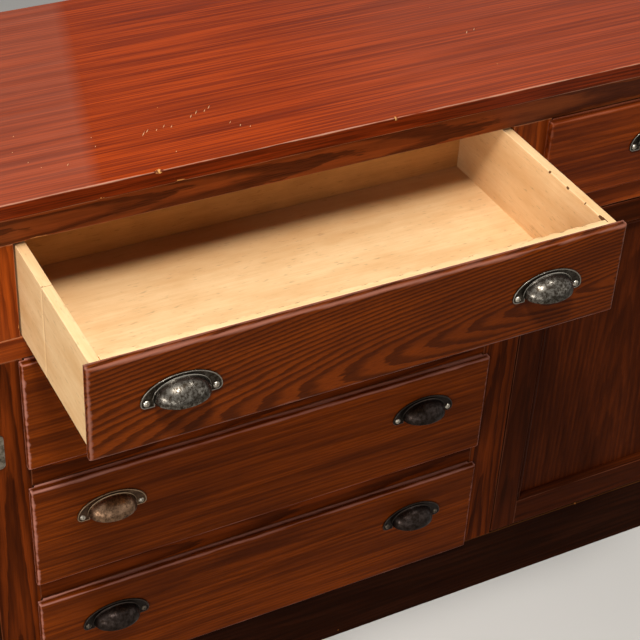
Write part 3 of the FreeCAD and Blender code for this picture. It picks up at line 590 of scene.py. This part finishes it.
# The pulls that have lost their plating, the left one's finish first; the near-black bronze is partly
# painted shade
pull_finishes = {"second_drawer": [browned_and_shaded_bronze], "third_drawer": [worn_bronze, browned_and_shaded_bronze],
                 "bottom_drawer": [browned_and_shaded_bronze]}
# Plated steel screws with grime in their slots, and the browned ones of the darkest pulls, darker also as
# painted shade
screw_finish = metal("bright_screw_steel", "#b9b1a2", "#8a8072", "#4f4232", 0.3, patches=400.0)
browned_and_shaded_screws = metal("browned_and_shaded_screw_steel", "#61574b", "#423930", "#2a2017", 0.42, patches=400.0)
# Cast iron of the hinges and the latches, its plating dulled
hinge_finish = metal("tarnished_hinge_iron", "#7d7468", "#544a3e", "#3a2c20", 0.45)
latch_finish = metal("tarnished_latch_iron", "#857b6d", "#5c5346", "#3d3023", 0.42)


# Boards of the frame and the carcass, each as long, wide and thick as its solid
def boards(node, along, materials, finish, chips=(), **cut):
    """All the boards of one node, each sawn from its own place in the log. materials are the main one and,
    where they differ, the front's, darkened as painted shade, and the underside's. chips start with their
    solid's number."""
    mesh = new_mesh()
    for i, (low, high) in enumerate(solids(node)):
        own_chips = [chip for solid, *chip in chips if solid == i]
        add_board(mesh, low, high, along, seed=len(node) + 2.3 * i, chips=own_chips, **cut)
    if len(materials) > 1:
        bmesh.ops.recalc_face_normals(mesh, faces=mesh.faces)
        # Faces underneath take the third material, and faces to the front the second: on the worktop,
        # painted shade
        for face in mesh.faces:
            if face.normal.z < -0.5:
                face.material_index = 2
            elif face.normal.y < -0.5:
                face.material_index = 1
    finish_piece(mesh, "seen_" + node, "cabinet", materials, [node])


def add_scratch(mesh, start, end, facing, width=1.0 * MM, height=0.12 * MM):
    """A sliver of raised pale fibres along a scratch."""
    start, end, facing = Vector(start), Vector(end), Vector(facing)
    side = (end - start).cross(facing).normalized() * width / 2
    middle = start.lerp(end, 0.45)
    rim = [mesh.verts.new(middle + offset) for offset in (side, facing * height, -side, -facing * height)]
    tips = [mesh.verts.new(start), mesh.verts.new(end)]
    for tip in tips:
        for i in range(4):
            mesh.faces.new((tip, rim[i], rim[(i + 1) % 4]))


def scratches(name, body, marks, facing):
    """Scratches and specks on one face. marks are (start, end)."""
    mesh = new_mesh()
    for start, end in marks:
        add_scratch(mesh, start, end, facing)
    finish_piece(mesh, name, body, [scratch_finish])


# Corners of a board along X, round its section: 0 front low, 1 back low, 2 back high, 3 front high
boards("worktop", X, [worktop_finish, shaded_edge_finish, carcass_finish], "varnished_worktop", front=2 * MM,
       step=4 * MM, wear=0.4 * MM, pith=(0.5, -0.03), slope=0.004,
       chips=[(0, -0.222, 5 * MM, 1.2 * MM, 0), (0, -0.133, 7 * MM, 1.4 * MM, 0),
              (0, -0.157, 6 * MM, 1.1 * MM, 3), (0, 0.130, 3 * MM, 1.1 * MM, 3),
              (0, 0.655, 4 * MM, 1.2 * MM, 0), (0, -0.561, 5 * MM, 1.1 * MM, 3)])
boards("top_rail", X, [top_rail_finish], "stained_pine", step=8 * MM, wear=0.35 * MM, pith=(-0.008, -0.03),
       slope=0.03, chips=[(0, -0.284, 16 * MM, 1.3 * MM, 0)])
boards("short_stiles", Z, [frame_finish], "stained_pine", step=8 * MM, wear=0.35 * MM,
       chips=[(0, 0.695, 7 * MM, 1.3 * MM, 1)])
boards("mid_rail", X, [frame_finish], "stained_pine", step=8 * MM, wear=0.35 * MM)
for node, along in {"outer_stiles": Z, "long_stiles": Z, "drawer_rails": X, "side_panels": Z}.items():
    boards(node, along, [shaded_frame_finish], "stained_pine", step=8 * MM, wear=0.35 * MM)
boards("bottom_rail", X, [shaded_kick_finish], "stained_pine", step=8 * MM, wear=0.5 * MM,
       chips=[(0, 0.52, 6 * MM, 1.0 * MM, 3), (0, 0.56, 4 * MM, 1.0 * MM, 3)])
for node, along in {"partitions": Z, "bottom_boards": Y, "shelves": X, "cleats": X, "drawer_runners": Y,
                    "drawer_guides": Y, "door_stops": Z}.items():
    boards(node, along, [carcass_finish], "raw_pine", step=40 * MM)
boards("back_boards", Z, [boarding_finish], "back_boarding", ease=1.6 * MM, wear=0.6 * MM, step=20 * MM,
       pith=(0.02, -0.03), slope=0.03)

# Scratches through the worktop's varnish: short slanting clusters, and specks further left
top = cad_high.z
marks = []
for x, y, length in ((-0.1467, 0.047, 12), (-0.1400, 0.052, 9), (-0.1287, 0.0516, 5), (-0.1190, 0.055, 8),
                     (-0.1110, 0.0520, 6), (-0.0833, 0.0630, 9), (-0.0750, 0.0680, 11), (-0.0640, 0.0690, 8),
                     (-0.0570, 0.0735, 10), (-0.0480, 0.0350, 7), (-0.0394, 0.0260, 5), (-0.0302, 0.0198, 4),
                     (-0.2424, 0.0213, 6), (-0.2750, 0.0990, 2), (-0.2868, 0.0682, 2), (-0.2017, 0.0458, 3),
                     (-0.1990, 0.0649, 2), (-0.2780, 0.0427, 2), (-0.2687, 0.0281, 2), (-0.1259, 0.0029, 3),
                     (0.3100, 0.1200, 9), (0.3230, 0.1240, 7), (-0.5200, 0.1500, 8), (0.5400, 0.2300, 6)):
    marks.append(((x, y, top), (x + 0.6 * length * MM, y + 0.8 * length * MM, top)))
scratches("worktop_scratches", "cabinet", marks, (0.0, 0.0, 1.0))


# Drawers
lip_thickness = 10 * MM
lip_round = 4 * MM
side_thickness = 12 * MM
back_thickness = 12 * MM
bottom_rise = 13 * MM
bottom_thickness = 6 * MM
back_drop = 6 * MM
back_gap = 0.2 * MM
groove = 4 * MM


def drawer_front(name, finish=plain_front_finish, **cut):
    """The stained lipped front with its tongue between the drawer's sides. The closed drawers' tongues take
    the front's stain as painted shade in the gaps above them; the open drawer's tongue is bare, and dirt has
    gathered in dashes along its upper arris."""
    low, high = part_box(name + "_front")
    box_node = name + ("_sides" if name == "top_drawer" else "_box")
    box_low, box_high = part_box(box_node)
    lip_back = low.y + lip_thickness
    mesh = new_mesh()
    add_board(mesh, low, (high.x, lip_back, high.z), X, front=lip_round, step=7 * MM, **cut)
    # Closed drawers' tongues keep material 0, the front's stain, as painted shade in their gaps
    inset, dirt, material = 0.0, (), 0
    if name == "top_drawer":
        inset, material = side_thickness, 1
        dirt = [(box_low.x + (24 + 23 * i + 5 * math.sin(9 * i)) * MM, (6 + i % 3) * MM, 1.3 * MM, 2)
                for i in range(25)]
    add_board(mesh, (box_low.x + inset, lip_back, low.z), (box_high.x - inset, high.y, high.z), X,
              seed=len(name) + 9.0, ease=0.4 * MM, wear=0.15 * MM, chips=dirt, material=material)
    finish_piece(mesh, "seen_" + name + "_front", name, [finish, drawer_finish], [name + "_front"])


def drawer_box(name):
    """Two sides, a back and a bottom of bare pine. The open drawer's sides reach past its front's tongue."""
    if name == "top_drawer":
        low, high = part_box("top_drawer_sides")
        nodes = ["top_drawer_sides", "top_drawer_back", "top_drawer_bottom"]
    else:
        low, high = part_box(name + "_box")
        nodes = [name + "_box"]
    room_low, room_high = low.x + side_thickness, high.x - side_thickness
    mesh = new_mesh()
    seed = 0.7 * len(name)
    crack, nicks = (), ()
    side_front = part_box(name + "_front")[1].y
    if name == "top_drawer":
        # One crack goes across the left side, and four nicks are along the right side's upper arris
        side_front = low.y
        crack = [(low.y + 135.8 * MM, low.y + 137.4 * MM, 0, 0.9 * MM),
                 (low.y + 136.0 * MM, low.y + 137.0 * MM, 3, 0.5 * MM)]
        nicks = [(low.y + 119 * MM, 3 * MM, 1.5 * MM, 3), (low.y + 82 * MM, 4 * MM, 1.5 * MM, 3),
                 (low.y + 12 * MM, 11 * MM, 2.0 * MM, 3), (low.y + 47 * MM, 2 * MM, 1.3 * MM, 3)]
    sides_cut = {"ease": 0.6 * MM, "wear": 0.3 * MM}
    add_board(mesh, (low.x, side_front, low.z), (room_low, high.y, high.z), Y, seed=seed + 1.0, dents=crack,
              **sides_cut)
    add_board(mesh, (room_high, side_front, low.z), high, Y, seed=seed + 2.0, chips=nicks, **sides_cut)
    floor_low = low.z + bottom_rise
    floor_high = floor_low + bottom_thickness
    inner_cut = {"ease": 0.3 * MM, "wear": 0.1 * MM}
    add_board(mesh, (room_low, high.y - back_thickness, floor_high + back_gap),
              (room_high, high.y, high.z - back_drop), X, seed=seed + 3.0, material=1, **inner_cut)
    add_board(mesh, (room_low - groove, low.y + groove, floor_low), (room_high + groove, high.y, floor_high),
              X, seed=seed + 4.0, pith=(0.09, -0.04), slope=0.012, **inner_cut)
    finish_piece(mesh, "seen_" + name + "_box", name, [drawer_finish, shaded_drawer_back_finish], nodes)


drawer_front("top_drawer", front_finish, seed=1.3, pith=(-0.036, -0.044), slope=-0.1, drift=-0.07)
drawer_front("left_drawer", small_front_finish, seed=5.9, pith=(0.03, -0.03), slope=0.01)
drawer_front("right_drawer", small_front_finish, seed=8.2, pith=(0.035, -0.03), slope=-0.012)
drawer_front("second_drawer", seed=3.1, pith=(-0.06, -0.02), slope=0.02)
drawer_front("third_drawer", seed=4.4, pith=(0.1, -0.03), slope=0.02)
drawer_front("bottom_drawer", seed=6.6, pith=(0.04, -0.03), slope=0.02)
drawers = ("top_drawer", "left_drawer", "right_drawer", "second_drawer", "third_drawer", "bottom_drawer")
for name in drawers:
    drawer_box(name)


# Cup pulls, pressed from plate
pull_half = 45 * MM
pull_rise = 28 * MM
pull_foot = 6 * MM
plate_thickness = 2 * MM
rim_width = 1.6 * MM
rim_height = 0.7 * MM
cup_half = 31 * MM
cup_rise = 23 * MM
cup_mouth = 0.5 * MM
cup_projection = 24 * MM
cup_wall = 1.8 * MM
cup_foot = 0.5 * MM
cup_fillet = 1.1 * MM
cup_fullness = 0.86
pull_drop = 62 * MM
pull_offset = 219 * MM
arch_parts = 48
ear_parts = 5
cup_parts = 40
cup_rows = 16
# How far short of its ends, in parts, the cup's skin stops
cup_trim = 0.35


def pull_outline():
    """The flange's edge, from the left ear over the top and back under the cup's mouth."""
    points = []
    for i in range(arch_parts + 1):
        angle = math.pi * (1 - i / arch_parts)
        points.append((pull_half * math.cos(angle), pull_rise * math.sin(angle)))
    for i in range(1, ear_parts + 1):
        angle = -math.pi / 2 * i / ear_parts
        points.append((pull_half - pull_foot + pull_foot * math.cos(angle), pull_foot * math.sin(angle)))
    inner = cup_half - cup_wall
    points += [(inner, -pull_foot), (inner, cup_mouth), (-inner, cup_mouth), (-inner, -pull_foot)]
    for i in range(ear_parts):
        angle = -math.pi / 2 * (1 + i / ear_parts)
        points.append((-pull_half + pull_foot + pull_foot * math.cos(angle), pull_foot * math.sin(angle)))
    return points


def inset_outline(points, distance):
    """The outline moved inward by a distance."""
    moved = []
    for i, (x, z) in enumerate(points):
        before = Vector((x, z)) - Vector(points[i - 1])
        after = Vector(points[(i + 1) % len(points)]) - Vector((x, z))
        first = Vector((before.y, -before.x)).normalized()
        second = Vector((after.y, -after.x)).normalized()
        turn = (first + second).normalized()
        moved.append(Vector((x, z)) + turn * distance / max(0.5, turn.dot(first)))
    return moved


def add_loops(mesh, loops, worn, closed=True):
    """Joins loops of points into a skin. worn says how bare each loop is rubbed."""
    bare = mesh.verts.layers.float["bare"]
    rings = []
    for loop, rubbed in zip(loops, worn):
        ring = [mesh.verts.new(point) for point in loop]
        for point in ring:
            point[bare] = rubbed
        rings.append(ring)
    join_rings(mesh, rings, closed)
    return rings


def add_pull(mesh, centre):
    """One cup pull: a flange with a raised rim, and a hollow cup standing from it."""
    outline = pull_outline()
    steps = ((0.0, 0.0), (0.0, -plate_thickness + 0.4 * MM), (0.35 * MM, -plate_thickness),
             (rim_width - 0.3 * MM, -plate_thickness), (rim_width, -plate_thickness + rim_height))
    loops = []
    for inset, y in steps:
        loops.append([centre + Vector((x, y, z)) for x, z in inset_outline(outline, inset)])
    rings = add_loops(mesh, loops, (0.0, 0.6, 1.0, 0.7, 0.0))
    mesh.faces.new(rings[0][::-1])
    mesh.faces.new(rings[-1])

    def skin(inset, turn, lift):
        """A point of the cup. turn goes from the left end to the right, lift from its mouth to the plate."""
        full = math.sin(turn) ** cup_fullness
        return centre + Vector((-(cup_half - inset) * math.cos(turn),
                                -(cup_projection - inset) * full * math.cos(lift),
                                cup_mouth + (cup_rise - cup_mouth - inset) * full * math.sin(lift)))

    turns = [math.pi * (i + cup_trim) / (cup_parts + 2 * cup_trim) for i in range(cup_parts + 1)]
    lifts = [math.pi / 2 * i / cup_rows for i in range(cup_rows)]
    outside = [[skin(0.0, turn, lift) for turn in turns] for lift in lifts]
    foot = []
    for spread, y in ((cup_foot, -plate_thickness - cup_foot), (cup_fillet, -plate_thickness + 0.2 * MM)):
        foot.append([skin(-spread, turn, math.pi / 2) + Vector((0.0, y, 0.0)) for turn in turns])
    inside = [[skin(cup_wall, turn, lift) for turn in turns] for lift in lifts]
    mouth = [[skin(cup_wall * part, turn, -0.02) for turn in turns] for part in (0.8, 0.2)]
    worn = [0.0] * len(inside) + [0.6, 0.8] + [0.4 - 0.02 * i for i in range(len(outside))] + [0.9, 0.9]
    rings = add_loops(mesh, inside[::-1] + mouth + outside + foot, worn, closed=False)
    for end in (0, -1):
        mesh.faces.new([ring[end] for ring in rings])


def drawer_pulls(name, centres):
    """The cup pulls of one drawer. A second finish, where there is one, is the right pull's."""
    finishes = pull_finishes.get(name, [pewter])
    low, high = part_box(name + "_front")
    mesh = new_mesh()
    for x in centres:
        add_pull(mesh, Vector((x, low.y, high.z - pull_drop)))
    if len(finishes) > 1:
        for face in mesh.faces:
            face.material_index = 1 if face.calc_center_median().x > 0.0 else 0
    finish_piece(mesh, "seen_" + name + "_pulls", name, finishes, [name + "_pulls"])


for name in drawers:
    low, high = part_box(name + "_front")
    middle = (low.x + high.x) / 2
    drawer_pulls(name, [middle] if "left" in name or "right" in name else [-pull_offset, pull_offset])


# Doors
stile_width = 39 * MM
top_rail_width = 35 * MM
bottom_rail_width = 45 * MM
moulding_width = 8 * MM
moulding_quirk = 1.2 * MM
moulding_sink = 1.5 * MM
moulding_depth = 8 * MM
moulding_lip = 0.4 * MM
moulding_parts = 24
moulding_steps = 6
mortise_depth = 2 * MM


def add_moulding(mesh, corners, profile, seed):
    """A moulding run round a frame's inner edge and mitred at its corners. profile gives
    (distance in from the edge, depth behind the face)."""
    grain = mesh.verts.layers.float_vector["grain"]
    local = mesh.verts.layers.float_vector["local"]
    half = mesh.verts.layers.float_vector["half"]
    (x_low, z_low), (x_high, z_high) = corners
    for side in range(4):
        rows = []
        for distance, y in profile:
            ends = [(x_low + distance, z_low + distance), (x_high - distance, z_low + distance),
                    (x_high - distance, z_high - distance), (x_low + distance, z_high - distance)]
            start, end = Vector(ends[side]), Vector(ends[(side + 1) % 4])
            row = []
            for i in range(moulding_parts + 1):
                x, z = start.lerp(end, i / moulding_parts)
                point = mesh.verts.new((x, y, z))
                run = x if side % 2 == 0 else z
                point[grain] = Vector((run + seed + side, distance + 0.03, y + 0.05))
                point[local] = Vector((0.0, 0.0, 0.0))
                point[half] = Vector((0.05, 0.05, 0.05))
                row.append(point)
            rows.append(row)
        for row, following in zip(rows, rows[1:] + rows[:1]):
            for i in range(moulding_parts):
                mesh.faces.new((row[i], row[i + 1], following[i + 1], following[i]))
        for end in (0, -1):
            mesh.faces.new([row[end] for row in rows])


def door(side):
    """A framed door: stiles, rails between them, a moulding round the sight line and a flat panel."""
    node = "door_" + side + "_frame"
    low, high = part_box(node)
    body = side + "_door"
    sight_low = (low.x + stile_width, low.z + bottom_rail_width)
    sight_high = (high.x - stile_width, high.z - top_rail_width)
    mesh = new_mesh()
    cut = {"ease": 0.9 * MM, "wear": 0.3 * MM}
    mortises = {"left": (), "right": ()}
    mortises[side] = [(leaf_low.z, leaf_high.z, 0 if side == "left" else 2, mortise_depth)
                      for leaf_low, leaf_high in solids("door_" + side + "_hinge_leaves")]
    add_board(mesh, low, (sight_low[0], high.y, high.z), Z, seed=2.2, dents=mortises["left"], **cut)
    add_board(mesh, (sight_high[0], low.y, low.z), high, Z, seed=7.4, dents=mortises["right"], **cut)
    for rail_low, rail_high, seed in ((low.z, sight_low[1], 3.8), (sight_high[1], high.z, 5.1)):
        add_board(mesh, (sight_low[0], low.y, rail_low), (sight_high[0], high.y, rail_high), X, seed=seed,
                  **cut)
    face, deep = low.y, low.y + moulding_depth
    profile = [(0.0, face + moulding_sink), (moulding_quirk, face + moulding_sink),
               (moulding_quirk, face + moulding_lip)]
    reach = moulding_width - moulding_quirk
    fall = moulding_depth - 1.6 * MM
    for i in range(moulding_steps + 1):
        angle = math.pi / 2 * i / moulding_steps
        profile.append((moulding_quirk + reach * math.sin(angle),
                        face + moulding_lip + fall * (1 - math.cos(angle))))
    profile += [(moulding_width, deep + 2 * MM), (0.0, deep + 2 * MM)]
    add_moulding(mesh, (sight_low, sight_high), profile, 1.0)
    finish_piece(mesh, "seen_" + node, body, [stained_and_shaded_door_finish], [node])
    mesh = new_mesh()
    panel_low, panel_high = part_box("door_" + side + "_panel")
    add_board(mesh, panel_low, panel_high, Z, seed=4.9, pith=(0.02, -0.045), slope=0.07, drift=0.03)
    finish_piece(mesh, "seen_door_" + side + "_panel", body, [panel_finish], ["door_" + side + "_panel"])


for side in ("left", "right"):
    door(side)


# Hardware keeps its solids, with their edges eased
def soften(node, material, width):
    """Gives a CAD node its material and eases its edges."""
    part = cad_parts[node]
    part.data.materials.clear()
    part.data.materials.append(material)
    weld = part.modifiers.new("weld", "WELD")
    weld.merge_threshold = 0.01 * MM
    bevel = part.modifiers.new("eased", "BEVEL")
    bevel.width = width
    bevel.segments = 2
    bevel.limit_method = "ANGLE"
    bevel.angle_limit = math.radians(35)
    part.modifiers.new("even_faces", "WEIGHTED_NORMAL")


hinge_edge = 0.3 * MM
latch_edge = 0.5 * MM
screw_edge = 0.15 * MM
soften("hinge_frame_leaves", hinge_finish, hinge_edge)
soften("latch_keepers", latch_finish, latch_edge)
soften("frame_screws", screw_finish, screw_edge)
for name in drawers:
    # The darkest pulls' screws are browned and darkened as painted shade
    browned_and_shaded = name in ("second_drawer", "bottom_drawer")
    soften(name + "_pull_screws", browned_and_shaded_screws if browned_and_shaded else screw_finish, screw_edge)
for side in ("left", "right"):
    soften("door_" + side + "_hinge_leaves", hinge_finish, hinge_edge)
    soften("door_" + side + "_screws", screw_finish, screw_edge)
    for part in ("case", "turn", "bolt"):
        soften("latch_" + side + "_" + part, latch_finish, latch_edge)


# Floor
def studio_floor():
    """Pale matt floor, wide enough to run out of view."""
    material, nodes, shader = new_material("pale_floor")
    speckle = add(nodes, "ShaderNodeTexNoise", {"Scale": 8.0, "Detail": 3.0})
    tone = blend(nodes, speckle, "#d3cfc8", "#dad6cf")
    plug(shader, {"Base Color": tone, "Roughness": 0.9, "Specular IOR Level": 0.1})
    mesh = bmesh.new()
    bmesh.ops.create_circle(mesh, cap_ends=True, segments=64, radius=9.0)
    data = bpy.data.meshes.new("floor")
    mesh.to_mesh(data)
    mesh.free()
    data.materials.append(material)
    floor = bpy.data.objects.new("floor", data)
    shown.collection.objects.link(floor)
    floor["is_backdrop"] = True


studio_floor()

low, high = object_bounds()
